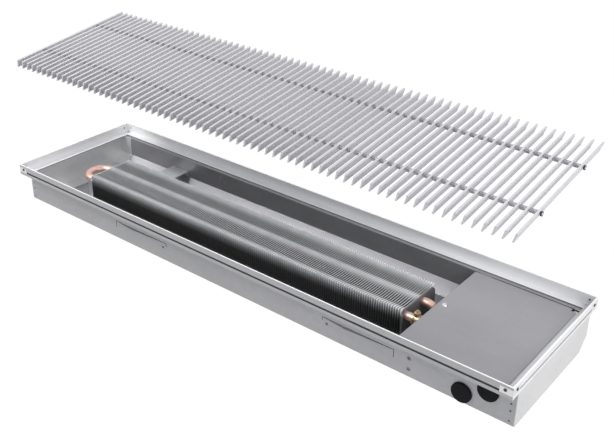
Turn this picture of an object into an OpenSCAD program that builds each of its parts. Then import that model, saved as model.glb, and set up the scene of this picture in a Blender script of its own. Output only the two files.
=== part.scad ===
// Trench convector heater: a folded steel trough with a mitred aluminium rim, a finned copper coil,
// a connection chamber under a cover plate, and a lift-off grille of slanting transverse blades.
// X runs along the trough, Y to the rear wall, Z up. The origin is the middle of the underside.
// All sizes are millimetres.

/* [Trough] */
// Length over the rim
length = 1000; // [900:10:1400]
// Width over the rim
width = 260; // [250:5:340]
// Height from the underside to the rim
height = 75; // [74:1:110]
// Thickness of the trough sheet
sheet = 1; // [0.8:0.1:1.5]
// Distance from the rim's outer face in to the trough's long walls
wall_inset = 20; // [18:1:26]
// Distance from the rim's outer face in to the end plates
end_inset = 1; // [0.5:0.5:4]
// Width and height of the slanting fold at the rear bottom edge
slant = 20; // [10:1:26]
// Width of the left end plate's folded edges
left_end_lap = 30; // [12:1:32]
// Width of the right end plate's folded edges, which stay clear of the knock-outs
right_end_lap = 22; // [12:1:24]

/* [Rim] */
// Thickness of the rim's upright web
web = 2; // [1.5:0.1:3]
// Depth of the grille seat below the rim
seat_depth = 17.2; // [16.8:0.2:22]
// Reach of the ledge from the rim's outer face
ledge_reach = 14.7; // [12:0.1:17]
// Thickness of the ledge
ledge_thick = 1.6; // [1.2:0.1:2.5]
// Height of the groove along the rim's outer face
groove_height = 3; // [1.5:0.1:3.5]
// Depth of that groove
groove_depth = 1.3; // [0.6:0.1:1.3]
// Distance from the rim down to the groove
groove_drop = 10.2; // [6:0.1:12]
// Height of the corner plates
corner_plate_height = 9.6; // [8:0.1:12]
// Thickness of the corner plates
corner_plate_thick = 1.1; // [0.8:0.1:1.3]
// Length of a corner plate's legs from the corner
corner_plate_leg = 19; // [16:0.5:30]
// Radius of the corner screws
corner_screw_radius = 1.5; // [1:0.1:2]
// Distance from the corner to a corner screw
corner_screw_place = 11; // [9:0.5:14]

/* [Coil] */
// Distance from the rim's left end to the fin pack
coil_end_room = 102; // [90:1:140]
// Distance from the fin pack to the partition
tee_room = 61; // [58:1:90]
// Depth of a fin, front to rear
fin_depth = 92.5; // [80:0.5:110]
// Height of a fin
fin_height = 43; // [36:0.5:60]
// Top of the fins below the rim
fin_drop = 21.5; // [21:0.5:30]
// Thickness of a fin
fin_thick = 0.4; // [0.3:0.05:0.6]
// Distance from one fin to the next
fin_pitch = 4.2; // [3.5:0.1:8]
// Depth of the valleys between the fins' three crests
crest_rise = 2.6; // [1:0.1:4]
// How far the coil lies in front of the trough's middle
coil_offset = 3; // [0:0.5:10]
// Outer radius of the copper tube
tube_radius = 6.35; // [5:0.05:8]
// Wall of the copper tube
tube_wall = 1; // [0.6:0.1:1.5]
// Distance between the two tubes
tube_spacing = 46; // [36:1:60]
// How far the tubes lie in front of the coil's middle
tube_offset = 12; // [0:0.5:13]
// Height of the tubes above the underside
tube_height = 40; // [37:0.5:42]
// Thickness of the coil's brackets
bracket_thick = 1.5; // [1:0.1:2.5]
// Gap from the fins to the brackets
bracket_gap = 1; // [0.5:0.5:4]
// Width of the upright fold along the left bracket's front edge
bracket_fold = 8.5; // [5:0.5:12]
// Width of the brackets' feet
bracket_foot = 16; // [12:1:25]
// Radius of the bracket screws
foot_screw_radius = 2; // [1.5:0.1:2.5]

/* [Connections] */
// Length of the connection chamber, from the rim's right end to the partition
chamber_length = 156; // [150:1:180]
// Length of the brass tee that carries the air vent
tee_length = 12; // [11:0.5:14]
// Distance from the rim's right end to the lower knock-out and the return connection
return_inset = 79; // [76:1:84]
// Distance from the rim's right end to the upper knock-out and the flow connection
flow_inset = 42; // [40:1:44]
// Height of the upper knock-out
flow_height = 37; // [36.5:0.1:40]
// Height of the lower knock-out
return_height = 15.8; // [15.2:0.1:17]
// Radius of the knock-outs
knockout_radius = 13; // [11:0.5:13.5]
// Radius of the plugs' heads
plug_radius = 15.2; // [14:0.1:15.2]
// Thickness of the plugs' heads
plug_head = 3.4; // [2:0.1:5]
// Bend radius of the pipes
bend_radius = 16; // [13:0.5:18]
// Width across flats of the brass connectors
hex_width = 24; // [22:1:27]
// Length of the hexagons and of the female thread in them
hex_length = 15; // [13:1:17]
// Radius of the connectors' female thread
thread_radius = 9.3; // [7:0.1:9.5]
// Y of the connectors' open ends
mouth_place = -80; // [-86:1:-78]

/* [Cover plate] */
// How far the cover plate reaches past the partition towards the coil
cover_overhang = 27; // [22:1:30]
// Distance from the rim's right end to the cover plate
cover_end_gap = 18; // [16:1:22]
// Gap from the cover plate to the trough's long walls
cover_gap = 2; // [0.5:0.5:5]
// Top of the cover plate below the rim
cover_drop = 19; // [18.9:0.1:25]
// Width of the rests under the cover plate's short edges
cover_rest_width = 20; // [14:1:26]

/* [Front wall] */
// Length of an anchor strip
anchor_length = 124; // [80:1:160]
// Height of an anchor strip
anchor_height = 13; // [8:0.5:16]
// Height of the anchor strips' upper edge
anchor_top = 33; // [28:0.5:36]
// Widest part of the slit above an anchor strip
anchor_slit = 4; // [1.5:0.1:5]
// Distance from the rim's left end to the left anchor strip's middle
left_anchor_inset = 301; // [200:1:340]
// Distance from the rim's right end to the right anchor strip's middle
right_anchor_inset = 249; // [245:1:280]
// Radius of the hole at an anchor strip's end
anchor_hole_radius = 2.2; // [1.5:0.1:3]
// Distance from the rim's left end to the hanging slot in the rear wall
rear_slot_inset = 277; // [240:1:440]
// Height of that slot
rear_slot_height = 10.5; // [6:0.5:14]

/* [Grille] */
// Distance from one blade to the next
blade_pitch = 14; // [12:0.1:18]
// Room between the rim and the middle of the first blade at the least
blade_end_room = 5; // [4.5:0.1:12]
// Length of a blade
blade_length = 250; // [240:1:251]
// Height of a blade
blade_height = 15; // [12:0.5:16.5]
// Thickness of a blade at its upper edge
blade_top = 3.2; // [2:0.1:4]
// Thickness of a blade above its foot
blade_waist = 1.8; // [1.2:0.1:2.6]
// Radius of the bead along a blade's foot
foot_bead_radius = 1.4; // [1:0.1:1.8]
// Lean of the blades from upright, in degrees
blade_lean = 19; // [0:1:24]
// Distance between the two rods
rod_spacing = 125; // [90:1:160]
// Radius of a rod
rod_radius = 2; // [1.5:0.1:2.5]
// Radius of a spacer sleeve
sleeve_radius = 3.2; // [2.8:0.1:4]
// How far the grille is lifted off its seat
grille_lift = 198; // [60:1:230]
// How far the lifted grille has moved to the left
grille_shift_left = 31; // [0:1:40]
// How far the lifted grille has moved to the rear
grille_shift_back = 33; // [0:1:33]
// Tilt of the lifted grille about its front rod, in degrees, the rear edge up
grille_tilt = 8.2; // [0:0.1:12]

/* [Hidden] */
$fn = 48;

// Overrun of every cut past the surface that it opens
over = 1;
// Gap between flat faces that lie together
seat_gap = 0.05;
// Radial gap of a fixed pin or tube in its hole
fit_gap = 0.05;
// Radial gap of a pipe in a cut-out that it only passes
pass_gap = 3;
// Share of an inset that a 45 degree fold takes along each wall, tan(22.5)
fold_share = 0.4142;

wall_y = width / 2 - wall_inset;
end_x = length / 2 - end_inset;
partition_place = length / 2 - chamber_length;
flow_place = length / 2 - flow_inset;
return_place = length / 2 - return_inset;
ledge_top = height - seat_depth;
ledge_low = ledge_top - ledge_thick;
flange_edge = width / 2 - web;
floor_top = sheet;

// Outline of the trough's inside or outside, moved in from the outer faces
function section_points(inset, top) = [
    [-wall_y + inset, inset],
    [wall_y - slant - inset * fold_share, inset],
    [wall_y - inset, slant + inset * fold_share],
    [wall_y - inset, top],
    [-wall_y + inset, top]
];

// Moves a drawing in Y and Z out along X, with its middle on the origin
module along_x(size) {
    rotate([90, 0, 90]) linear_extrude(size, center = true) children();
}

// Moves a drawing in X and Z out along Y, with its middle on the origin
module along_y(size) {
    rotate([90, 0, 0]) linear_extrude(size, center = true) children();
}

// A box given by its lowest and highest corners
module block(low, high) {
    translate(low) cube(high - low);
}

module rod_x(radius, size) {
    rotate([0, 90, 0]) cylinder(r = radius, h = size, center = true);
}

module rod_y(radius, size) {
    rotate([90, 0, 0]) cylinder(r = radius, h = size, center = true);
}

// Trough sheet: floor, two walls, the slanting rear fold, and a flange under the rim on each side
tray_length = 2 * (end_x - sheet - seat_gap);
slit_end = 1;
slit_peak_share = 0.17;
anchor_hole_drop = 9.5;
anchor_hole_inset = 8;
rear_slot_low = 37.5;
rear_slot_width = 1;
clinch_radius = 1.4;
clinch_depth = 0.4;
clinch_inset = 9;
clinch_heights = [6, 22, 33.5];
wall_cut = 2 * sheet + over;

// A slit with a bent lower edge, a cut at the strip's free end, and its hole, on the side that is given
module anchor_cut(place, side) {
    half = anchor_length / 2;
    translate([place, -wall_y, anchor_top]) {
        along_y(wall_cut) {
            polygon([
                [-half, -slit_end / 2], [-half, slit_end / 2], [half, slit_end / 2],
                [half, -slit_end / 2], [-anchor_length * slit_peak_share, -anchor_slit]
            ]);
            translate([-side * half - slit_end / 2, -anchor_height])
                square([slit_end, anchor_height]);
            translate([side * half - slit_end / 2, -anchor_height / 2])
                square([slit_end, anchor_height / 2]);
        }
        translate([side * (half - anchor_hole_inset), 0, -anchor_hole_drop])
            rod_y(anchor_hole_radius, wall_cut);
    }
}

// Shallow round press marks that hold the end plates' folded edges to the long walls
module clinch_marks() {
    for (end = [-1, 1], face = [-1, 1], z = clinch_heights)
        translate([end * (length / 2 - clinch_inset), face * (wall_y + over / 2 - clinch_depth), z])
            rod_y(clinch_radius, over);
}

module trough() {
    color("silver") difference() {
        union() {
            along_x(tray_length) difference() {
                polygon(section_points(0, ledge_low - seat_gap));
                polygon(section_points(sheet, ledge_low + over));
            }
            for (side = [-1, 1])
                scale([1, side, 1]) along_x(tray_length)
                    translate([wall_y - sheet, ledge_low - sheet - seat_gap])
                        square([flange_edge - wall_y + sheet, sheet]);
        }
        anchor_cut(left_anchor_inset - length / 2, 1);
        anchor_cut(length / 2 - right_anchor_inset, -1);
        for (hole = [[return_place, return_height], [flow_place, flow_height]])
            translate([hole[0], -wall_y, hole[1]]) rod_y(knockout_radius, wall_cut);
        for (z = partition_rivet_heights)
            translate([partition_rivet_place, -wall_y, z]) rod_y(rivet_radius + fit_gap, wall_cut);
        translate([rear_slot_inset - length / 2, wall_y, rear_slot_low])
            along_y(wall_cut) square([rear_slot_width, rear_slot_height]);
        clinch_marks();
    }
}

// Inset of a sheet that lies inside the trough
clear_inset = sheet + seat_gap;

// End plates, each with folded edges that lie inside the trough
module end_plate(lap) {
    translate([end_x - sheet / 2, 0, 0]) along_x(sheet)
        polygon(section_points(0, ledge_low - seat_gap));
    translate([end_x - sheet / 2 - lap / 2, 0, 0]) along_x(lap) difference() {
        polygon(section_points(clear_inset, ledge_low - seat_gap));
        polygon(section_points(clear_inset + sheet, ledge_low + over));
    }
}

module end_plate_right() {
    color("gainsboro") end_plate(right_end_lap);
}

module end_plate_left() {
    color("gainsboro") mirror([1, 0, 0]) end_plate(left_end_lap);
}

// Rim: one profile, drawn with its outer face at 0 and its inside towards +
module rim_profile() {
    groove_top = height - groove_drop;
    polygon([
        [0, height], [web, height], [web, ledge_top], [ledge_reach, ledge_top],
        [ledge_reach, ledge_low], [0, ledge_low],
        [0, groove_top - groove_height], [groove_depth, groove_top - groove_height],
        [groove_depth, groove_top], [0, groove_top]
    ]);
}

corner_plate_drop = 4.2;
corner_plate_top = height - corner_plate_drop;
corner_plate_low = corner_plate_top - corner_plate_height;
corner_screw_drop = 7.8;
corner_screw_z = height - corner_screw_drop;

// The room of the corner plates, with some extra all round, open towards the outside
module corner_cut(extra) {
    leg = corner_plate_leg + extra;
    thick = corner_plate_thick + extra;
    low = corner_plate_low - extra;
    high = [length / 2 + over, width / 2 + over, corner_plate_top + extra];
    for (end = [-1, 1], face = [-1, 1])
        scale([end, face, 1]) {
            block([length / 2 - leg, width / 2 - thick, low], high);
            block([length / 2 - thick, width / 2 - leg, low], high);
        }
}

module corner_holes(radius) {
    for (end = [-1, 1], face = [-1, 1]) {
        translate([end * (length / 2 - corner_screw_place), face * width / 2, corner_screw_z])
            rod_y(radius, 2 * web + over);
        translate([end * length / 2, face * (width / 2 - corner_screw_place), corner_screw_z])
            rod_x(radius, 2 * web + over);
    }
}

module rim_long() {
    reach = ledge_reach + over;
    half = length / 2;
    difference() {
        intersection() {
            along_x(length) translate([-width / 2, 0]) rim_profile();
            translate([0, 0, ledge_low - over]) linear_extrude(seat_depth + ledge_thick + 2 * over)
                polygon([
                    [-half, -width / 2], [half, -width / 2],
                    [half - reach, -width / 2 + reach], [-half + reach, -width / 2 + reach]
                ]);
        }
        corner_cut(seat_gap);
        corner_holes(corner_screw_radius + fit_gap);
    }
}

module rim_short() {
    reach = ledge_reach + over;
    half = width / 2;
    difference() {
        intersection() {
            along_y(width) translate([-length / 2, 0]) rim_profile();
            translate([0, 0, ledge_low - over]) linear_extrude(seat_depth + ledge_thick + 2 * over)
                polygon([
                    [-length / 2, -half], [-length / 2, half],
                    [-length / 2 + reach, half - reach], [-length / 2 + reach, -half + reach]
                ]);
        }
        corner_cut(seat_gap);
        corner_holes(corner_screw_radius + fit_gap);
    }
}

module rim_front() {
    color("whitesmoke") rim_long();
}

module rim_rear() {
    color("whitesmoke") mirror([0, 1, 0]) rim_long();
}

module rim_left() {
    color("whitesmoke") rim_short();
}

module rim_right() {
    color("whitesmoke") mirror([1, 0, 0]) rim_short();
}

module corner_plates() {
    color("gainsboro") difference() {
        intersection() {
            corner_cut(0);
            block([-length / 2, -width / 2, corner_plate_low], [length / 2, width / 2, corner_plate_top]);
        }
        corner_holes(corner_screw_radius + fit_gap);
    }
}

// Corner screws: a low head outside and a shank through the plate and the web
corner_head_radius = 2.25;
corner_head_thick = 0.75;
socket_radius = 0.75;

module corner_screw() {
    difference() {
        union() {
            translate([0, 0, seat_gap]) cylinder(r = corner_head_radius, h = corner_head_thick);
            translate([0, 0, seat_gap - web])
                cylinder(r = corner_screw_radius, h = web + corner_head_thick / 2);
        }
        translate([0, 0, seat_gap + corner_head_thick / 2]) cylinder(r = socket_radius, h = over, $fn = 6);
    }
}

module corner_screws() {
    color("dimgray") for (end = [-1, 1], face = [-1, 1]) {
        translate([end * (length / 2 - corner_screw_place), face * width / 2, corner_screw_z])
            rotate([-face * 90, 0, 0]) corner_screw();
        translate([end * length / 2, face * (width / 2 - corner_screw_place), corner_screw_z])
            rotate([0, end * 90, 0]) corner_screw();
    }
}

// Coil: fins with three crests along their upper edge, on two tubes
coil_y = -coil_offset;
fin_top = height - fin_drop;
fin_low = fin_top - fin_height;
fin_pack_left = coil_end_room - length / 2;
fin_pack_right = partition_place - tee_room;
fin_pack_length = fin_pack_right - fin_pack_left;
front_tube_y = coil_y - tube_offset - tube_spacing / 2;
rear_tube_y = front_tube_y + tube_spacing;
crest_width = 5;
valley_inset = 14;
fin_count = floor((fin_pack_length - fin_thick) / fin_pitch) + 1;
collar_radius = tube_radius + fit_gap + fin_thick;

// Half of the fin's upper edge, from the middle crest out to the side crest
function crest_points(side) = [
    [side * crest_width / 2, fin_top - crest_rise / 2],
    [side * (crest_width / 2 + valley_inset / 2), fin_top - crest_rise],
    [side * (fin_depth / 2 - valley_inset), fin_top - crest_rise],
    [side * (fin_depth / 2 - crest_width), fin_top],
    [side * (fin_depth / 2 - crest_width / 4), fin_top],
    [side * fin_depth / 2, fin_top - crest_width / 4]
];

module fin_outline() {
    right = crest_points(1);
    left = crest_points(-1);
    translate([coil_y, 0]) polygon(concat(
        [for (i = [len(left) - 1 : -1 : 0]) left[i]],
        right,
        [[fin_depth / 2, fin_low], [-fin_depth / 2, fin_low]]
    ));
}

module tube_holes(radius, size) {
    for (y = [front_tube_y, rear_tube_y])
        translate([0, y, tube_height]) rod_x(radius, size);
}

module fin_pack() {
    color("lightslategray") difference() {
        union() {
            for (i = [0 : fin_count - 1])
                translate([fin_pack_left + fin_thick / 2 + i * fin_pitch, 0, 0])
                    along_x(fin_thick) fin_outline();
            translate([fin_pack_left + ((fin_count - 1) * fin_pitch + fin_thick) / 2, 0, 0])
                tube_holes(collar_radius, (fin_count - 1) * fin_pitch + fin_thick);
        }
        tube_holes(tube_radius + fit_gap, 2 * length);
    }
}

left_bracket_x = fin_pack_left - bracket_gap - bracket_thick / 2;
right_bracket_x = fin_pack_right + bracket_gap + bracket_thick / 2;
bend_stub = 12;
tee_stub = 15;
return_stub = 6;
tube_left = left_bracket_x - bracket_thick / 2 - bend_stub;
front_tube_right = right_bracket_x + bracket_thick / 2 + tee_stub;
rear_tube_right = right_bracket_x + bracket_thick / 2 + return_stub;

// A hollow pipe along X from one place to another
module pipe_x(from, to, radius, wall) {
    translate([(from + to) / 2, 0, 0]) difference() {
        rod_x(radius, to - from);
        rod_x(radius - wall, to - from + over);
    }
}

module tube_front() {
    color("peru") translate([0, front_tube_y, tube_height])
        pipe_x(tube_left, front_tube_right, tube_radius, tube_wall);
}

module tube_rear() {
    color("peru") translate([0, rear_tube_y, tube_height])
        pipe_x(tube_left, rear_tube_right, tube_radius, tube_wall);
}

// Return bend: half a ring with a soldering cup over each tube end
cup_length = 5;
cup_wall = 0.6;
cup_radius = tube_radius + fit_gap + cup_wall;

module return_bend() {
    color("peru") translate([tube_left - seat_gap, (front_tube_y + rear_tube_y) / 2, tube_height]) {
        rotate([0, 0, 90]) rotate_extrude(angle = 180) translate([tube_spacing / 2, 0]) difference() {
            circle(r = cup_radius);
            circle(r = tube_radius - tube_wall);
        }
        for (side = [-1, 1]) translate([0, side * tube_spacing / 2, 0]) difference() {
            translate([cup_length / 2, 0, 0]) rod_x(cup_radius, cup_length);
            rod_x(tube_radius + fit_gap, 2 * cup_length + over);
        }
    }
}

// Brackets that carry the coil's ends: an upright sheet on a foot that is screwed to the floor
bracket_front = coil_y - fin_depth / 2;
bracket_rear = coil_y + fin_depth / 2;
bracket_corner = 8;
bracket_low = floor_top + seat_gap;
foot_screw_inset = 18;

module coil_bracket(side) {
    difference() {
        union() {
            along_x(bracket_thick) polygon([
                [bracket_front, bracket_low], [bracket_rear, bracket_low],
                [bracket_rear, fin_top - bracket_corner - crest_rise],
                [bracket_rear - bracket_corner, fin_top - crest_rise],
                [bracket_front + bracket_corner, fin_top - crest_rise],
                [bracket_front, fin_top - bracket_corner - crest_rise]
            ]);
            translate([side * (bracket_foot - bracket_thick) / 2, coil_y, bracket_low])
                block([-bracket_foot / 2, -fin_depth / 2, 0],
                      [bracket_foot / 2, fin_depth / 2, bracket_thick]);
        }
        tube_holes(tube_radius + fit_gap, 2 * bracket_thick);
        for (y = [bracket_front + foot_screw_inset, bracket_rear - foot_screw_inset])
            translate([side * bracket_foot / 2, y, floor_top])
                cylinder(r = foot_screw_radius + fit_gap, h = 2 * bracket_thick);
    }
}

module coil_bracket_left() {
    color("silver") translate([left_bracket_x, 0, 0]) {
        coil_bracket(-1);
        block([-bracket_fold - bracket_thick / 2, bracket_front, bracket_low],
              [bracket_thick / 2, bracket_front + bracket_thick, fin_top - bracket_corner - crest_rise]);
    }
}

module coil_bracket_right() {
    color("silver") translate([right_bracket_x, 0, 0]) coil_bracket(1);
}

// Stay: a sheet from the rear wall to the coil's rear face, with both edges folded down
stay_width = 40;
stay_inset = 70;
stay_top = 31.5;
stay_leg = 9;

module coil_stay() {
    front = bracket_rear + seat_gap;
    rear = wall_y - clear_inset;
    low = stay_top - bracket_thick;
    color("silver") translate([fin_pack_left + stay_inset, 0, 0]) along_x(stay_width) polygon([
        [front, stay_top], [rear, stay_top], [rear, stay_top - stay_leg],
        [rear - bracket_thick, stay_top - stay_leg], [rear - bracket_thick, low],
        [front + bracket_thick, low], [front + bracket_thick, stay_top - stay_leg],
        [front, stay_top - stay_leg]
    ]);
}

// Screws through the brackets' feet
foot_head_radius = 4;
foot_head_height = 1.6;
slot_width = 0.8;

module foot_screw(thick) {
    base = floor_top + seat_gap + thick;
    translate([0, 0, base + seat_gap]) {
        difference() {
            cylinder(r1 = foot_head_radius, r2 = foot_screw_radius, h = foot_head_height);
            translate([0, 0, foot_head_height])
                cube([2 * foot_head_radius + over, slot_width, foot_head_height], center = true);
        }
        translate([0, 0, -thick]) cylinder(r = foot_screw_radius, h = thick + foot_head_height / 2);
    }
}

module foot_screws() {
    color("gray") {
        for (y = [bracket_front + foot_screw_inset, bracket_rear - foot_screw_inset]) {
            translate([left_bracket_x - bracket_foot / 2, y, 0]) foot_screw(bracket_thick);
            translate([right_bracket_x + bracket_foot / 2, y, 0]) foot_screw(bracket_thick);
        }
        for (x = connector_screw_places)
            translate([x, connector_screw_y, 0]) foot_screw(bracket_thick);
    }
}

// Partition between the coil and the connection chamber, riveted to the front wall
cover_top = height - cover_drop;
cover_low = cover_top - sheet;
rest_top = cover_low - seat_gap;
partition_front = clear_inset - wall_y;
partition_lap = 12;
rivet_radius = 1.6;
rivet_head_radius = 3;
rivet_tail_radius = 2.4;
rivet_core_radius = 0.9;
rivet_head = 1;
partition_rivet_place = partition_place - partition_lap / 2;
partition_rivet_heights = [12.5, 30];

module partition() {
    color("silver") difference() {
        union() {
            translate([partition_place, 0, 0]) along_x(sheet)
                polygon(section_points(clear_inset, rest_top));
            block([partition_place - cover_rest_width, -wall_y + clear_inset, rest_top - sheet],
                  [partition_place + sheet / 2, wall_y - clear_inset, rest_top]);
            block([partition_place - partition_lap, partition_front, clear_inset],
                  [partition_place, partition_front + sheet, rest_top]);
        }
        translate([partition_place, rear_tube_y, return_height]) rod_x(tube_radius + pass_gap, 2 * sheet);
        translate([partition_place, front_tube_y, tube_height]) rod_x(tube_radius + pass_gap, 2 * sheet);
        for (z = partition_rivet_heights)
            translate([partition_rivet_place, partition_front, z])
                rod_y(rivet_radius + fit_gap, wall_cut);
        translate([cover_screw_x, cover_screw_y, rest_top - sheet])
            cylinder(r = cover_screw_radius + fit_gap, h = 2 * wall_cut, center = true);
    }
}

// Blind rivets, hollow at the head
module partition_rivets() {
    grip = 2 * sheet + 2 * seat_gap;
    color("gray") for (z = partition_rivet_heights)
        translate([partition_rivet_place, -wall_y, z]) rotate([90, 0, 0]) difference() {
            union() {
                translate([0, 0, seat_gap])
                    cylinder(r1 = rivet_head_radius, r2 = rivet_radius, h = rivet_head);
                translate([0, 0, -grip]) cylinder(r = rivet_radius, h = grip + rivet_head / 2);
                translate([0, 0, -grip - rivet_head]) cylinder(r = rivet_tail_radius, h = rivet_head);
            }
            translate([0, 0, -grip / 2]) cylinder(r = rivet_core_radius, h = grip + rivet_head);
        }
}

// Rest for the cover plate's right edge, an angle on the right end plate
rest_right = end_x - clear_inset;
rest_side = wall_y - 2 * clear_inset - sheet - cover_gap;
rest_leg = 14;

module cover_rest() {
    color("silver") along_y(2 * rest_side) polygon([
        [rest_right, rest_top], [rest_right, rest_top - rest_leg],
        [rest_right - sheet, rest_top - rest_leg], [rest_right - sheet, rest_top - sheet],
        [rest_right - cover_rest_width, rest_top - sheet], [rest_right - cover_rest_width, rest_top]
    ]);
}

// Cover plate with a notched rear right corner, and its captive screw
cover_left = partition_place - cover_overhang;
cover_right = length / 2 - cover_end_gap;
cover_screw_inset = 10;
cover_screw_x = cover_left + cover_screw_inset;
cover_screw_y = -2;
cover_screw_radius = 2;
cover_screw_length = 4;
cover_head_radius = 4;
cover_head_top_radius = 3.2;
cover_head_height = 1.6;
cover_notch_length = 8;
cover_notch_depth = 6;
cover_side = wall_y - sheet - cover_gap;

module cover_plate() {
    color("darkgray") difference() {
        block([cover_left, -cover_side, cover_low], [cover_right, cover_side, cover_top]);
        block([cover_right - cover_notch_length, cover_side - cover_notch_depth, cover_low - over],
              [cover_right + over, cover_side + over, cover_top + over]);
        translate([cover_screw_x, cover_screw_y, cover_low - over])
            cylinder(r = cover_screw_radius + fit_gap, h = sheet + 2 * over);
    }
}

module cover_screw() {
    color("whitesmoke") translate([cover_screw_x, cover_screw_y, cover_top + seat_gap]) {
        difference() {
            cylinder(r1 = cover_head_radius, r2 = cover_head_top_radius, h = cover_head_height);
            translate([0, 0, cover_head_height])
                cube([2 * cover_head_radius + over, slot_width, cover_head_height], center = true);
        }
        translate([0, 0, -cover_screw_length])
            cylinder(r = cover_screw_radius, h = cover_screw_length + cover_head_height / 4);
    }
}

// Brass tee on the flow tube, with the air vent on top
tee_cup = 2;
tee_left = front_tube_right - tee_cup;
tee_right = tee_left + tee_length;
tee_radius = 8.6;
tee_waist_radius = 7.6;
tee_collar = 3;
vent_x = (tee_left + tee_right) / 2;
vent_base = tube_height + tee_radius;
vent_hex = 9;
vent_hex_height = 3.5;
vent_neck_radius = 3;
vent_neck_height = 1.5;
vent_bore_radius = 1.6;
vent_stem = 4.5;

module vent_tee() {
    color("goldenrod") translate([0, front_tube_y, tube_height]) difference() {
        union() {
            translate([vent_x, 0, 0]) rod_x(tee_waist_radius, tee_length);
            for (x = [tee_left + tee_collar / 2, tee_right - tee_collar / 2])
                translate([x, 0, 0]) rod_x(tee_radius, tee_collar);
            translate([vent_x, 0, 0]) cylinder(r = vent_hex / 2, h = tee_radius - seat_gap);
        }
        translate([tee_left, 0, 0]) rod_x(tube_radius + fit_gap, 2 * (tee_cup + seat_gap));
        translate([tee_right, 0, 0]) rod_x(tube_radius + fit_gap, 2 * (tee_cup + seat_gap));
        translate([vent_x, 0, 0]) rod_x(tube_radius - tube_wall, 2 * tee_length);
        translate([vent_x, 0, 0]) cylinder(r = vent_bore_radius, h = tee_radius + over);
    }
}

module vent_body() {
    color("goldenrod") translate([vent_x, front_tube_y, vent_base]) difference() {
        union() {
            cylinder(r = vent_hex / sqrt(3), h = vent_hex_height, $fn = 6);
            cylinder(r = vent_neck_radius, h = vent_hex_height + vent_neck_height);
        }
        translate([0, 0, -over])
            cylinder(r = vent_bore_radius, h = vent_hex_height + vent_neck_height + 2 * over);
    }
}

// Slotted vent screw that turns in the vent's bore
vent_head_radius = 2.4;
vent_head_height = 1.8;

module vent_screw() {
    seat = vent_base + vent_hex_height + vent_neck_height + seat_gap;
    color("whitesmoke") translate([vent_x, front_tube_y, seat]) {
        difference() {
            cylinder(r = vent_head_radius, h = vent_head_height);
            translate([0, 0, vent_head_height])
                cube([2 * vent_head_radius + over, slot_width, vent_head_height], center = true);
        }
        translate([0, 0, -vent_stem])
            cylinder(r = vent_bore_radius - fit_gap, h = vent_stem + vent_head_height / 4);
    }
}

// A quarter bend of pipe that turns from +X towards +Y, starting at the origin
module pipe_bend(radius) {
    translate([0, radius, 0]) rotate([0, 0, -90]) rotate_extrude(angle = 90)
        translate([radius, 0]) difference() {
            circle(r = tube_radius);
            circle(r = tube_radius - tube_wall);
        }
}

module pipe_run(size) {
    translate([size / 2, 0, 0]) difference() {
        rod_x(tube_radius, size);
        rod_x(tube_radius - tube_wall, size + over);
    }
}

tail_length = 8;
tail_radius = 10;
connector_back = mouth_place + hex_length + seat_gap + tail_length;
pipe_end_y = connector_back + seat_gap;

// Flow pipe: from the tee straight into the chamber, then forward to the upper knock-out
module flow_pipe() {
    start = tee_right - tee_cup;
    turn = flow_place - bend_radius;
    color("peru") translate([start, front_tube_y, tube_height]) {
        pipe_run(turn - start);
        translate([turn - start, 0, 0]) mirror([0, 1, 0]) pipe_bend(bend_radius);
        translate([flow_place - start, -bend_radius, 0]) rotate([0, 0, -90])
            pipe_run(front_tube_y - bend_radius - pipe_end_y);
    }
}

// Return pipe: an elbow down and one forward again to the lower knock-out's height, then across to it
elbow_radius = 9.6;
drop = tube_height - return_height;

module return_pipe() {
    start = rear_tube_right + seat_gap;
    low_start = start + cup_length + 2 * elbow_radius;
    turn = return_place - bend_radius;
    color("peru") translate([start, rear_tube_y, tube_height]) {
        pipe_run(cup_length);
        difference() {
            rod_x(cup_radius, 2 * cup_length);
            rod_x(tube_radius - tube_wall, 2 * cup_length + over);
            translate([-cup_length, 0, 0]) rod_x(tube_radius + fit_gap, 2 * cup_length);
        }
        translate([cup_length, 0, 0]) rotate([-90, 0, 0]) pipe_bend(elbow_radius);
        translate([cup_length + elbow_radius, 0, -elbow_radius]) rotate([0, 90, 0])
            pipe_run(drop - 2 * elbow_radius);
        translate([cup_length + 2 * elbow_radius, 0, -drop]) rotate([90, 0, 180])
            pipe_bend(elbow_radius);
        translate([low_start - start, 0, -drop]) pipe_run(turn - low_start);
        translate([turn - start, 0, -drop]) mirror([0, 1, 0]) pipe_bend(bend_radius);
        translate([return_place - start, -bend_radius, -drop]) rotate([0, 0, -90])
            pipe_run(rear_tube_y - bend_radius - pipe_end_y);
    }
}

// Female threaded connectors behind the knock-outs, their open ends towards the front wall
module connector() {
    translate([0, mouth_place + hex_length / 2, 0]) difference() {
        rotate([90, 0, 0])
            cylinder(r = hex_width / sqrt(3), h = hex_length, center = true, $fn = 6);
        rod_y(thread_radius, hex_length + over);
    }
}

// Tails that join the connectors to the pipes, whose axis may lie higher, and sit in the bracket
module tail(rise) {
    translate([0, connector_back - tail_length / 2, 0]) difference() {
        rod_y(tail_radius, tail_length);
        translate([0, 0, rise]) rod_y(tube_radius - tube_wall, tail_length + over);
    }
}

module flow_connector() {
    color("goldenrod") translate([flow_place, 0, flow_height]) connector();
}

module return_connector() {
    color("goldenrod") translate([return_place, 0, return_height]) connector();
}

module flow_tail() {
    color("goldenrod") translate([flow_place, 0, flow_height]) tail(tube_height - flow_height);
}

module return_tail() {
    color("goldenrod") translate([return_place, 0, return_height]) tail(0);
}

// Upright sheet that carries both connectors by their tails
connector_bracket_side = 16;
connector_bracket_top = 50;
connector_bracket_y = mouth_place + hex_length + seat_gap;
connector_screw_inset = 10;
connector_screw_back = 9.5;
connector_screw_places = [
    return_place - connector_bracket_side + connector_screw_inset,
    flow_place + connector_bracket_side - connector_screw_inset
];
connector_screw_y = connector_bracket_y + connector_screw_back;

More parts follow.
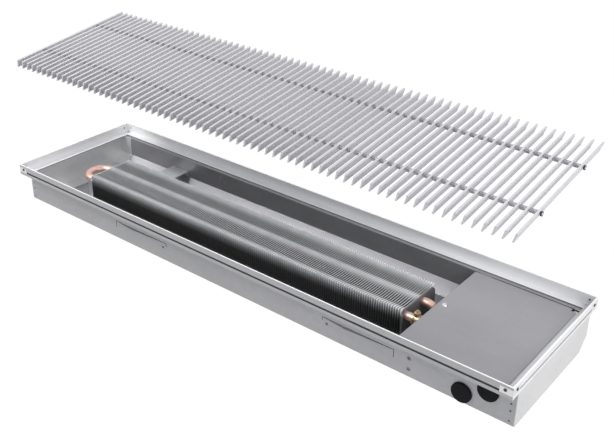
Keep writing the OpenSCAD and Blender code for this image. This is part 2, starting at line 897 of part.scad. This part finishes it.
module connector_bracket() {
    left = return_place - connector_bracket_side;
    right = flow_place + connector_bracket_side;
    color("silver") difference() {
        union() {
            block([left, connector_bracket_y, bracket_low],
                  [right, connector_bracket_y + bracket_thick, connector_bracket_top]);
            block([left, connector_bracket_y, bracket_low],
                  [right, connector_bracket_y + bracket_foot, bracket_low + bracket_thick]);
        }
        for (hole = [[return_place, return_height], [flow_place, flow_height]])
            translate([hole[0], connector_bracket_y, hole[1]])
                rod_y(tail_radius + fit_gap, 2 * bracket_thick + over);
        for (x = connector_screw_places)
            translate([x, connector_screw_y, floor_top])
                cylinder(r = foot_screw_radius + fit_gap, h = 2 * bracket_thick);
    }
}

// Rubber plugs in the knock-outs: a domed head outside, a hollow neck inside
plug_neck_length = 6;
plug_wall = 1.8;
plug_fit = 0.15;

module plug() {
    round_off = plug_head / 2;
    rotate([90, 0, 0]) difference() {
        rotate_extrude() union() {
            translate([0, seat_gap]) square([plug_radius, plug_head - round_off]);
            translate([0, seat_gap]) square([plug_radius - round_off, plug_head]);
            translate([plug_radius - round_off, plug_head - round_off + seat_gap]) intersection() {
                circle(r = round_off);
                square(2 * round_off);
            }
            translate([0, -plug_neck_length])
                square([knockout_radius - plug_fit, plug_neck_length + 2 * seat_gap]);
        }
        translate([0, 0, -plug_neck_length - over])
            cylinder(r = knockout_radius - plug_fit - plug_wall, h = plug_neck_length + over);
    }
}

module plug_upper() {
    color([0.08, 0.08, 0.09]) translate([flow_place, -wall_y, flow_height]) plug();
}

module plug_lower() {
    color([0.08, 0.08, 0.09]) translate([return_place, -wall_y, return_height]) plug();
}

// Grille: slanting blades on two rods, spaced by sleeves and clamped by end nuts
blade_count = floor((length - 2 * web - 2 * blade_end_room) / blade_pitch) + 1;
first_blade = -(blade_count - 1) * blade_pitch / 2;
seat_z = ledge_top + seat_gap;
rod_z = blade_height / 2;
nut_radius = 3.4;
nut_thick = 2.2;

// X of a blade's middle, left flank or right flank at a height above its foot
blade_slope = tan(blade_lean);
function middle_at(z) = (z - blade_height / 2) * blade_slope;
function thickness_at(z) = blade_waist + (blade_top - blade_waist) * z / blade_height;
function left_at(z) = middle_at(z) - thickness_at(z) / 2;
function right_at(z) = middle_at(z) + thickness_at(z) / 2;

// A sleeve's ends clear the flanks of the blades on both sides
sleeve_left = right_at(rod_z + sleeve_radius) + seat_gap;
sleeve_right = blade_pitch + left_at(rod_z - sleeve_radius) - seat_gap;
nut_left = first_blade + left_at(rod_z - nut_radius) - seat_gap - nut_thick;
nut_right = -first_blade + right_at(rod_z + nut_radius) + seat_gap + nut_thick;

module lifted() {
    translate([-grille_shift_left, grille_shift_back - rod_spacing / 2, seat_z + grille_lift + rod_z])
        rotate([grille_tilt, 0, 0]) translate([0, rod_spacing / 2, -rod_z]) children();
}

// Blade section in X and Z: its foot stands on 0 and its upper edge leans to the right
module blade_section() {
    low = foot_bead_radius;
    bevel = blade_top / 4;
    polygon([
        [left_at(low), low], [right_at(low), low], [right_at(blade_height - bevel), blade_height - bevel],
        [right_at(blade_height - bevel) - bevel, blade_height], [left_at(blade_height), blade_height]
    ]);
    translate([middle_at(low), low]) circle(r = foot_bead_radius);
}

module grille_blades() {
    color("gainsboro") lifted() for (i = [0 : blade_count - 1])
        translate([first_blade + i * blade_pitch, 0, 0]) difference() {
            along_y(blade_length) blade_section();
            for (side = [-1, 1])
                translate([0, side * rod_spacing / 2, rod_z]) rod_x(rod_radius + fit_gap, blade_pitch);
        }
}

// Sleeves, rod and end nuts of one side, -1 for the front and 1 for the rear
module sleeve_row(side) {
    color("dimgray") lifted() for (i = [0 : blade_count - 2])
        translate([first_blade + i * blade_pitch + sleeve_left, side * rod_spacing / 2, rod_z])
            ring_x(sleeve_radius, sleeve_right - sleeve_left);
}

// A ring round a rod, from the origin along +X
module ring_x(radius, size) {
    translate([size / 2, 0, 0]) difference() {
        rod_x(radius, size);
        rod_x(rod_radius + fit_gap, size + over);
    }
}

module grille_rod(side) {
    color("gray") lifted() translate([(nut_left + nut_right) / 2, side * rod_spacing / 2, rod_z])
        rod_x(rod_radius, nut_right - nut_left);
}

module nut_pair(side) {
    color("dimgray") lifted() for (x = [nut_left, nut_right - nut_thick])
        translate([x, side * rod_spacing / 2, rod_z]) ring_x(nut_radius, nut_thick);
}

module grille_rod_front() {
    grille_rod(-1);
}

module grille_sleeves_front() {
    sleeve_row(-1);
}

module grille_nuts_front() {
    nut_pair(-1);
}

module grille_rod_rear() {
    grille_rod(1);
}

module grille_sleeves_rear() {
    sleeve_row(1);
}

module grille_nuts_rear() {
    nut_pair(1);
}

trough();
end_plate_left();
end_plate_right();
rim_front();
rim_rear();
rim_left();
rim_right();
corner_plates();
corner_screws();
fin_pack();
tube_front();
tube_rear();
return_bend();
coil_bracket_left();
coil_bracket_right();
coil_stay();
foot_screws();
partition();
partition_rivets();
cover_rest();
cover_plate();
cover_screw();
vent_tee();
vent_body();
vent_screw();
flow_pipe();
return_pipe();
flow_connector();
return_connector();
flow_tail();
return_tail();
connector_bracket();
plug_upper();
plug_lower();
grille_blades();
grille_rod_front();
grille_sleeves_front();
grille_nuts_front();
grille_rod_rear();
grille_sleeves_rear();
grille_nuts_rear();
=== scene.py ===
import bpy
from mathutils import Matrix, Vector


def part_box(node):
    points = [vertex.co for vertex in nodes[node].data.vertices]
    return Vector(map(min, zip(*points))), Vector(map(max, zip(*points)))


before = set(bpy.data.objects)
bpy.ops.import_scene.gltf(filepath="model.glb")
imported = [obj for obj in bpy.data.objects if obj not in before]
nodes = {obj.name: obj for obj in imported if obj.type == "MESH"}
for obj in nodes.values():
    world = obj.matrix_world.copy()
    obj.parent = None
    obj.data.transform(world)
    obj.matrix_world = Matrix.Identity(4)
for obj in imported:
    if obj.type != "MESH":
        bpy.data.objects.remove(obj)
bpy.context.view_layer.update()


# Places on the part, in metres, as in its source

# The rim's outer groove: its distance below the rim's upper edge, its height and its depth
GROOVE_DROP = 0.0102
GROOVE_HEIGHT = 0.003
GROOVE_DEPTH = 0.0013

# The trough's sheet, the outside of its long walls, and the heights that their holes and slits lie between
SHEET = 0.001
WALL_OUTSIDE = 0.11
CUTS_LOW = 0.005
CUTS_HIGH = 0.052

# Height of the fins' crests over their valleys
CREST_RISE = 0.0026

# How near to a face a point counts as on it, and how far inside the sheet a point counts as cut
ON_FACE = 0.0002
INSIDE_SHEET = 0.00004


# Painted highlight and shade, and the fins' patches

# Painted highlight on the rims' upper edge, where they face the light
PAINTED_TOP_HIGHLIGHT = (0.95, 0.95, 0.96)
# Painted shade on the rims' inner lip, under the ledge
PAINTED_LIP_SHADE = (0.22, 0.22, 0.225)
# Painted shade in the rims' grooves and on the trough's cut faces
PAINTED_SHADE = (0.05, 0.05, 0.055)
# Paler painted shade for the right rim's groove
PAINTED_PALE_SHADE = (0.45, 0.45, 0.46)

# How far the fins' upper edge is crest and takes the painted highlight, at shares of the way from their
# front edge to the rear one
FIN_CRESTS = [(0.0, 0.85), (0.09, 0.5), (0.2, 0.0), (0.38, 0.0), (0.49, 0.85),
              (0.57, 0.95), (0.65, 0.2), (0.8, 0.25), (0.92, 0.85), (1.0, 1.0)]

# Painted shade and highlight of the fins, as grey tones at shares of the way from their foot up: dark
# towards the foot, in the valleys, and bright on crests and outer edges near the top
FIN_VALLEY_PAINTED_SHADE = [(0.0, 0.04), (0.91, 0.05), (0.96, 0.14), (1.0, 0.85)]
FIN_EDGE_PAINTED_SHADE_AND_HIGHLIGHT = [(0.0, 0.06), (0.5, 0.08), (0.7, 0.36), (0.88, 0.88), (1.0, 1.0)]

# The tints that the fins' patches lie between, and their roughness from patch to patch
FIN_TINTS = ((0.88, 0.895, 0.91), (0.98, 0.99, 1))
FIN_ROUGHNESS = (0.36, 0.5)


# Patterns

# The values of a noise over which one tone turns into another: the narrower, the harder its patches
SOFT = (0.3, 0.7)
CLEAR = (0.32, 0.68)
HARD = (0.35, 0.65)
DUSTY = (0.35, 0.75)

# Scales of a pattern along X, Y and Z: it runs in streaks along an axis whose scale is small
FINE_ALONG = {"X": (6, 500, 500), "Y": (500, 6, 500)}
FINE_ALONG_BLADES = (500, 8, 500)
FINE_UPRIGHT = (300, 300, 20)
FINE_ALL_WAYS = (200, 200, 200)
DRAWN = (40, 900, 900)
ROLLED = (3, 160, 160)
STAINED = (1, 1.6, 1.6)
FIN_PATCHES = (40, 30, 30)


def shader_of(material):
    """A material's node tree and its shader."""
    tree = material.node_tree
    return tree, tree.nodes["Principled BSDF"]


def new_material(name):
    material = bpy.data.materials.new(name)
    material.use_nodes = True
    return material, *shader_of(material)


def add(tree, kind, **values):
    made = tree.nodes.new(kind)
    for key, value in values.items():
        setattr(made, key, value)
    return made


def coordinates(tree, stretch=(1, 1, 1)):
    """The point in the object's own frame, in metres, times the stretch of each axis."""
    place = add(tree, "ShaderNodeTexCoord")
    mapping = add(tree, "ShaderNodeMapping")
    mapping.inputs["Scale"].default_value = stretch
    tree.links.new(place.outputs["Object"], mapping.inputs["Vector"])
    return mapping.outputs["Vector"]


def position(tree):
    """X, Y and Z of the point in the object's own frame, in metres."""
    place = add(tree, "ShaderNodeTexCoord")
    parts = add(tree, "ShaderNodeSeparateXYZ")
    tree.links.new(place.outputs["Object"], parts.inputs["Vector"])
    return parts.outputs


def noise(tree, stretch=(1, 1, 1), scale=1.0, detail=3.0, rough=0.55):
    """Cloudy values round 0.5. Scale is about how many clouds a metre holds where the stretch is 1."""
    made = add(tree, "ShaderNodeTexNoise")
    made.inputs["Scale"].default_value = scale
    made.inputs["Detail"].default_value = detail
    made.inputs["Roughness"].default_value = rough
    tree.links.new(coordinates(tree, stretch), made.inputs["Vector"])
    return made.outputs["Fac"]


def crystals(tree, per_metre):
    """Cells with sharp borders, each with one value from 0 to 1."""
    cells = add(tree, "ShaderNodeTexVoronoi")
    cells.inputs["Scale"].default_value = per_metre
    tree.links.new(coordinates(tree), cells.inputs["Vector"])
    parts = add(tree, "ShaderNodeSeparateColor")
    tree.links.new(cells.outputs["Color"], parts.inputs["Color"])
    return parts.outputs["Red"]


def ramp(tree, value, between, first, last):
    """Blends two colours as value goes from one end of between to the other."""
    made = add(tree, "ShaderNodeValToRGB")
    for stop, place, colour in zip(made.color_ramp.elements, between, (first, last)):
        stop.position = place
        stop.color = (*colour, 1)
    tree.links.new(value, made.inputs["Fac"])
    return made.outputs["Color"]


def shaded(colour, share):
    return tuple(channel * share for channel in colour)


def toned(tree, value, between, colour, shares):
    """The colour, times the first share at one end of between and times the last at the other."""
    return ramp(tree, value, between, shaded(colour, shares[0]), shaded(colour, shares[1]))


def steps(tree, value, low, high, tones):
    """Grey tones along value: each entry is a share of the way from low to high, and its tone."""
    along = add(tree, "ShaderNodeMapRange")
    along.inputs["From Min"].default_value = low
    along.inputs["From Max"].default_value = high
    tree.links.new(value, along.inputs["Value"])
    made = add(tree, "ShaderNodeValToRGB")
    stops = made.color_ramp.elements
    while len(stops) < len(tones):
        stops.new(1.0)
    for stop, (share, tone) in zip(stops, tones):
        stop.position = share
        stop.color = (tone, tone, tone, 1)
    tree.links.new(along.outputs["Result"], made.inputs["Fac"])
    return made.outputs["Color"]


def mixed(tree, factor, first, second, blend="MIX"):
    """Mixes two colours by a number, or by a pattern's value."""
    made = add(tree, "ShaderNodeMix", data_type="RGBA", blend_type=blend)
    if isinstance(factor, float):
        made.inputs[0].default_value = factor
    else:
        tree.links.new(factor, made.inputs[0])
    tree.links.new(first, made.inputs[6])
    tree.links.new(second, made.inputs[7])
    return made.outputs[2]


def plain(tree, colour):
    made = add(tree, "ShaderNodeRGB")
    made.outputs[0].default_value = (*colour, 1)
    return made.outputs[0]


def compute(tree, operation, first, second, margin=0.0):
    """One step of arithmetic. COMPARE is 1 where first lies within margin of second."""
    made = add(tree, "ShaderNodeMath", operation=operation)
    for place, value in enumerate((first, second, margin)):
        if isinstance(value, (int, float)):
            made.inputs[place].default_value = value
        else:
            tree.links.new(value, made.inputs[place])
    return made.outputs[0]


def within(tree, value, low, high):
    """1 where value lies between low and high, and 0 elsewhere."""
    return compute(tree, "COMPARE", value, (low + high) / 2, (high - low) / 2)


def colour_by(tree, shader, colour):
    tree.links.new(colour, shader.inputs["Base Color"])


def colour_so_far(shader):
    """What the shader's colour comes from, to lay something over it."""
    return shader.inputs["Base Color"].links[0].from_socket


def roughen(tree, shader, pattern, low, high):
    """Roughness that goes from low to high as the pattern goes from 0 to 1."""
    made = add(tree, "ShaderNodeMapRange")
    made.inputs["To Min"].default_value = low
    made.inputs["To Max"].default_value = high
    tree.links.new(pattern, made.inputs["Value"])
    tree.links.new(made.outputs["Result"], shader.inputs["Roughness"])


def bump(tree, shader, height, distance, strength):
    made = add(tree, "ShaderNodeBump")
    made.inputs["Strength"].default_value = strength
    made.inputs["Distance"].default_value = distance
    tree.links.new(height, made.inputs["Height"])
    tree.links.new(made.outputs["Normal"], shader.inputs["Normal"])


# Kinds of material

def brushed(name, colour, stretch, metal=0.8, rough=0.36, contrast=0.07):
    """Metal with a fine grain, faint cloudy patches and a roughness that follows the grain."""
    material, tree, shader = new_material(name)
    grain = noise(tree, stretch, detail=4.0)
    cloud = noise(tree, scale=9.0)
    fine = toned(tree, grain, SOFT, colour, (1 - contrast, 1))
    broad = toned(tree, cloud, SOFT, colour, (1 - contrast / 2, 1.02))
    colour_by(tree, shader, mixed(tree, 0.5, fine, broad))
    roughen(tree, shader, grain, rough - 0.05, rough + 0.07)
    shader.inputs["Metallic"].default_value = metal
    bump(tree, shader, grain, distance=0.00004, strength=0.25)
    return material


def galvanised(name, colour, metal=0.65, rough=0.42, spangle=0.05):
    """Zinc-coated sheet: faint crystals a few millimetres across, rolling lines and soft stains."""
    material, tree, shader = new_material(name)
    stain = noise(tree, STAINED, scale=7.0, detail=5.0, rough=0.6)
    lines = noise(tree, ROLLED)
    cells = crystals(tree, per_metre=150.0)
    crystal = toned(tree, cells, (0.0, 1.0), colour, (1 - spangle, 1 + spangle / 2))
    broad = toned(tree, stain, CLEAR, colour, (0.82, 1.12))
    rolled = toned(tree, lines, HARD, colour, (0.97, 1.01))
    colour_by(tree, shader, mixed(tree, 0.35, mixed(tree, 0.5, crystal, broad), rolled))
    roughen(tree, shader, stain, rough - 0.06, rough + 0.1)
    shader.inputs["Metallic"].default_value = metal
    bump(tree, shader, lines, distance=0.00003, strength=0.2)
    return material


def trough_metal(name, colour):
    """The trough's zinc-coated sheet, with painted shade on the cut faces of its long walls' holes and
    slits.
    """
    material = galvanised(name, colour, spangle=0.09)
    tree, shader = shader_of(material)
    point = position(tree)
    from_middle = compute(tree, "ABSOLUTE", point["Y"], 0)
    inside = within(tree, from_middle, WALL_OUTSIDE - SHEET + INSIDE_SHEET, WALL_OUTSIDE - INSIDE_SHEET)
    level = within(tree, point["Z"], CUTS_LOW, CUTS_HIGH)
    cut = compute(tree, "MULTIPLY", inside, level)
    # Painted shade on the cut faces of the holes and slits
    colour_by(tree, shader, mixed(tree, cut, colour_so_far(shader), plain(tree, PAINTED_SHADE)))
    return material


def pipe_metal(name, colour, dark, rough):
    """Bare drawn metal with heat stains and fine scratches."""
    material, tree, shader = new_material(name)
    stain = noise(tree, scale=60.0, detail=4.0, rough=0.65)
    fine = noise(tree, DRAWN, detail=2.0)
    tone = ramp(tree, stain, CLEAR, dark, colour)
    light = toned(tree, fine, SOFT, colour, (0.9, 1))
    colour_by(tree, shader, mixed(tree, 0.35, tone, light))
    roughen(tree, shader, stain, rough + 0.14, rough - 0.04)
    shader.inputs["Metallic"].default_value = 0.9
    bump(tree, shader, fine, distance=0.00003, strength=0.2)
    return material


def moulded(name, colour, rough, metal=0.0, specular=0.5):
    """Plastic, rubber or coated steel with a fine moulding grain and dusty patches."""
    material, tree, shader = new_material(name)
    grain = noise(tree, scale=1400.0)
    dust = noise(tree, scale=90.0, detail=4.0)
    dusty = tuple(channel * 1.25 + 0.002 for channel in colour)
    colour_by(tree, shader, ramp(tree, dust, DUSTY, colour, dusty))
    roughen(tree, shader, dust, rough - 0.05, rough + 0.1)
    shader.inputs["Metallic"].default_value = metal
    shader.inputs["Specular IOR Level"].default_value = specular
    bump(tree, shader, grain, distance=0.00004, strength=0.3)
    return material


def rim_metal(node, colour, along, groove=PAINTED_SHADE):
    """Anodised profile, brushed along its length, with a painted highlight on its upper edge, painted
    shade on its inner lip and painted shade of the groove tone in its outer groove.
    """
    material = brushed(node + "_anodised", colour, FINE_ALONG[along], metal=0.25, rough=0.42)
    tree, shader = shader_of(material)
    low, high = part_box(node)
    across = "Y" if along == "X" else "X"
    axis = "XYZ".index(across)
    inner, outer = sorted((abs(low[axis]), abs(high[axis])))
    point = position(tree)
    from_middle = compute(tree, "ABSOLUTE", point[across], 0)
    upper_edge = compute(tree, "GREATER_THAN", point["Z"], high[2] - ON_FACE)
    lip = compute(tree, "LESS_THAN", from_middle, inner + ON_FACE)
    deep = compute(tree, "GREATER_THAN", from_middle, outer - GROOVE_DEPTH - ON_FACE)
    groove_top = high[2] - GROOVE_DROP
    level = within(tree, point["Z"], groove_top - GROOVE_HEIGHT - ON_FACE, groove_top + ON_FACE)
    in_groove = compute(tree, "MULTIPLY", deep, level)
    # The upper edge gets a painted highlight
    top_highlighted = mixed(tree, upper_edge, colour_so_far(shader), plain(tree, PAINTED_TOP_HIGHLIGHT))
    # The inner lip gets painted shade
    lip_shaded = mixed(tree, lip, top_highlighted, plain(tree, PAINTED_LIP_SHADE))
    # Painted shade in the outer groove, of the groove tone
    colour_by(tree, shader, mixed(tree, in_groove, lip_shaded, plain(tree, groove)))
    return material


def stacked_fins(name, node):
    """Thin fins: painted shade deep between them and along the valleys, and a painted highlight on the
    three crests.
    """
    material, tree, shader = new_material(name)
    low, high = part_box(node)
    point = position(tree)
    # Painted shade towards the fins' foot and between them, and a painted highlight along their crests
    crests = steps(tree, point["Y"], low[1], high[1], FIN_CRESTS)
    sunk = compute(tree, "MULTIPLY", compute(tree, "SUBTRACT", 1.0, crests), CREST_RISE)
    between = steps(tree, compute(tree, "ADD", point["Z"], sunk), low[2], high[2], FIN_VALLEY_PAINTED_SHADE)
    outside = steps(tree, point["Z"], low[2], high[2], FIN_EDGE_PAINTED_SHADE_AND_HIGHLIGHT)
    uneven = noise(tree, FIN_PATCHES)
    patchy = ramp(tree, uneven, HARD, *FIN_TINTS)
    colour_by(tree, shader, mixed(tree, 1.0, mixed(tree, crests, between, outside), patchy, "MULTIPLY"))
    roughen(tree, shader, uneven, *FIN_ROUGHNESS)
    bump(tree, shader, uneven, distance=0.00005, strength=0.3)
    return material


# The materials, each with the nodes that it covers

finishes = [
    # The four rims are one anodised metal: the front one a darker copy as painted shade, the rear and left
    # ones lighter copies as painted light, the right one in between
    (rim_metal("rim_front", (0.36, 0.36, 0.37), "X"), ["rim_front"]),
    (rim_metal("rim_rear", (0.88, 0.88, 0.89), "X"), ["rim_rear"]),
    (rim_metal("rim_left", (0.88, 0.88, 0.89), "Y"), ["rim_left"]),
    (rim_metal("rim_right", (0.68, 0.68, 0.69), "Y", PAINTED_PALE_SHADE), ["rim_right"]),
    (brushed("corner_plate_metal", (0.66, 0.66, 0.66), FINE_UPRIGHT, rough=0.45), ["corner_plates"]),
    (trough_metal("trough_sheet", (0.35, 0.35, 0.365)), ["trough"]),
    # The end plates are one zinc-coated sheet: the left one a lighter copy as painted light, the right one
    # a darker copy as painted shade
    (galvanised("end_plate_sheet_left_lit", (0.74, 0.745, 0.75)), ["end_plate_left"]),
    (galvanised("end_plate_sheet_right_shaded", (0.60, 0.60, 0.605)), ["end_plate_right"]),
    (galvanised("bracket_sheet", (0.60, 0.61, 0.62), rough=0.38),
     ["coil_bracket_left", "coil_stay", "partition", "cover_rest", "connector_bracket"]),
    # The right coil bracket is the bracket sheet made dark as painted shade, for the shade beside the
    # cover
    (galvanised("end_bracket_shaded_sheet", (0.16, 0.16, 0.165), metal=0.5, rough=0.5), ["coil_bracket_right"]),
    (galvanised("cover_sheet", (0.335, 0.329, 0.352), rough=0.46, spangle=0.03), ["cover_plate"]),
    (stacked_fins("fin_aluminium", "fin_pack"), ["fin_pack"]),
    (pipe_metal("copper_tube", (0.84, 0.58, 0.50), (0.55, 0.34, 0.28), rough=0.38),
     ["tube_front", "tube_rear", "return_bend", "flow_pipe", "return_pipe"]),
    (pipe_metal("brass_fitting", (0.60, 0.48, 0.33), (0.22, 0.145, 0.085), rough=0.36),
     ["vent_tee", "vent_body", "vent_screw",
      "flow_connector", "return_connector", "flow_tail", "return_tail"]),
    (brushed("rivet_steel", (0.16, 0.16, 0.165), FINE_ALL_WAYS, metal=0.6, rough=0.5),
     ["partition_rivets"]),
    (brushed("zinc_steel", (0.68, 0.69, 0.70), FINE_ALL_WAYS, metal=0.85, rough=0.32),
     ["foot_screws", "cover_screw", "grille_rod_front", "grille_rod_rear"]),
    (moulded("blackened_steel", (0.03, 0.03, 0.033), rough=0.4, metal=0.4),
     ["corner_screws", "grille_nuts_front", "grille_nuts_rear"]),
    (moulded("plug_rubber", (0.004, 0.004, 0.005), rough=0.6, specular=0.1), ["plug_upper", "plug_lower"]),
    (brushed("blade_anodised", (0.55, 0.545, 0.57), FINE_ALONG_BLADES, metal=0.5, rough=0.42),
     ["grille_blades"]),
    (moulded("sleeve_plastic", (0.36, 0.36, 0.38), rough=0.45),
     ["grille_sleeves_front", "grille_sleeves_rear"]),
]
for material, names in finishes:
    for name in names:
        slots = nodes[name].data.materials
        slots.clear()
        slots.append(material)


# Camera

# The photograph's frame, and the fitted lens's focal length and axis, all in pixels of the photograph
PHOTO_WIDTH = 614
PHOTO_HEIGHT = 439
FOCAL_LENGTH = 904.6
AXIS_ACROSS = 307.1
AXIS_DOWN = 179.8

# Where the fitted camera stands, in metres, and its directions to the right and down
EYE = Vector((0.8441, -0.9807, 0.7896))
RIGHT = Vector((0.7815, 0.6237, 0.0118))
DOWN = Vector((0.2837, -0.3386, -0.8971))

# Blender's measure of the lens, in millimetres, and how far it sees, in metres
SENSOR_WIDTH = 36.0
FARTHEST = 50.0


def add_camera():
    data = bpy.data.cameras.new("camera")
    data.sensor_width = SENSOR_WIDTH
    data.lens = SENSOR_WIDTH * FOCAL_LENGTH / PHOTO_WIDTH
    data.shift_x = (PHOTO_WIDTH / 2 - AXIS_ACROSS) / PHOTO_WIDTH
    data.shift_y = (AXIS_DOWN - PHOTO_HEIGHT / 2) / PHOTO_WIDTH
    data.clip_end = FARTHEST
    camera = bpy.data.objects.new("camera", data)
    bpy.context.scene.collection.objects.link(camera)
    back = RIGHT.cross(-DOWN)
    turn = Matrix((RIGHT, -DOWN, back)).transposed()
    camera.matrix_world = Matrix.Translation(EYE) @ turn.to_4x4()
    bpy.context.scene.camera = camera


# Floor and light

# The floor's side and how far it lies below the trough, in metres, and its own grey
FLOOR_SIZE = 14
FLOOR_GAP = 0.0005
FLOOR_GREY = (0.6, 0.6, 0.6, 1)
FLOOR_ROUGHNESS = 0.7

# What the camera and reflections see of the floor: mostly this white, so that the shadow stays faint
FLOOR_WHITE = 1.06
FLOOR_WHITE_SHARE = 0.92

# The light that comes from all round, and the white that is seen behind the object
AROUND_COLOUR = (0.93, 0.96, 1.0, 1)
AROUND_STRENGTH = 0.36
WHITE = (1, 1, 1, 1)


def ray_share(tree, *kinds):
    """1 for rays of the named kinds, and 0 for all others."""
    path = add(tree, "ShaderNodeLightPath")
    share = path.outputs[kinds[0]]
    for kind in kinds[1:]:
        share = compute(tree, "MAXIMUM", share, path.outputs[kind])
    return share


def blend_surfaces(tree, share, first, second, output):
    """Shows first where share is 0 and second where it is 1."""
    blend = add(tree, "ShaderNodeMixShader")
    tree.links.new(share, blend.inputs[0])
    tree.links.new(first.outputs[0], blend.inputs[1])
    tree.links.new(second.outputs[0], blend.inputs[2])
    tree.links.new(blend.outputs[0], tree.nodes[output].inputs["Surface"])


def floor_material():
    material, tree, shader = new_material("floor_white")
    shader.inputs["Base Color"].default_value = FLOOR_GREY
    shader.inputs["Roughness"].default_value = FLOOR_ROUGHNESS
    glow = add(tree, "ShaderNodeEmission")
    glow.inputs["Strength"].default_value = FLOOR_WHITE
    seen = ray_share(tree, "Is Camera Ray", "Is Glossy Ray")
    share = compute(tree, "MULTIPLY", seen, FLOOR_WHITE_SHARE)
    blend_surfaces(tree, share, shader, glow, "Material Output")
    return material


def add_floor():
    bpy.ops.mesh.primitive_plane_add(size=FLOOR_SIZE, location=(0, 0, -FLOOR_GAP))
    floor = bpy.context.object
    floor.name = "floor"
    floor.data.materials.append(floor_material())


def add_world():
    world = bpy.data.worlds.new("studio")
    bpy.context.scene.world = world
    world.use_nodes = True
    tree = world.node_tree
    around = tree.nodes["Background"]
    around.inputs["Color"].default_value = AROUND_COLOUR
    around.inputs["Strength"].default_value = AROUND_STRENGTH
    white = add(tree, "ShaderNodeBackground")
    white.inputs["Color"].default_value = WHITE
    white.inputs["Strength"].default_value = 1.0
    seen = ray_share(tree, "Is Camera Ray", "Is Glossy Ray", "Is Transmission Ray")
    blend_surfaces(tree, seen, around, white, "World Output")


def soft_light(name, place, aim, size, power):
    """A white lamp with a flat face of the given width and height, turned towards aim."""
    data = bpy.data.lights.new(name, "AREA")
    data.shape = "RECTANGLE"
    data.size, data.size_y = size
    data.energy = power
    lamp = bpy.data.objects.new(name, data)
    bpy.context.scene.collection.objects.link(lamp)
    turn = (Vector(aim) - Vector(place)).to_track_quat("-Z", "Y")
    lamp.matrix_world = Matrix.Translation(place) @ turn.to_matrix().to_4x4()


add_camera()
add_floor()
add_world()

# The lamps' places, aims and sizes in metres, and their power in watts
soft_light("key", place=(2.2, -0.4, 1.5), aim=(0.2, 0, 0.05), size=(1.2, 1.2), power=34)
soft_light("side", place=(2.5, -0.4, 0.62), aim=(-0.4, 0, 0.05), size=(0.5, 0.3), power=12)
soft_light("top", place=(0.3, 1.2, 2.4), aim=(0.1, 0, 0.1), size=(1.6, 0.8), power=10)
soft_light("front", place=(0.8, -2.4, 0.5), aim=(0.1, 0, 0.05), size=(2.4, 0.5), power=6)
soft_light("left", place=(-1.25, -1.2, 1.75), aim=(-0.05, 0.095, 0.008), size=(0.6, 0.6), power=40)

bpy.context.scene.view_settings.view_transform = "Standard"
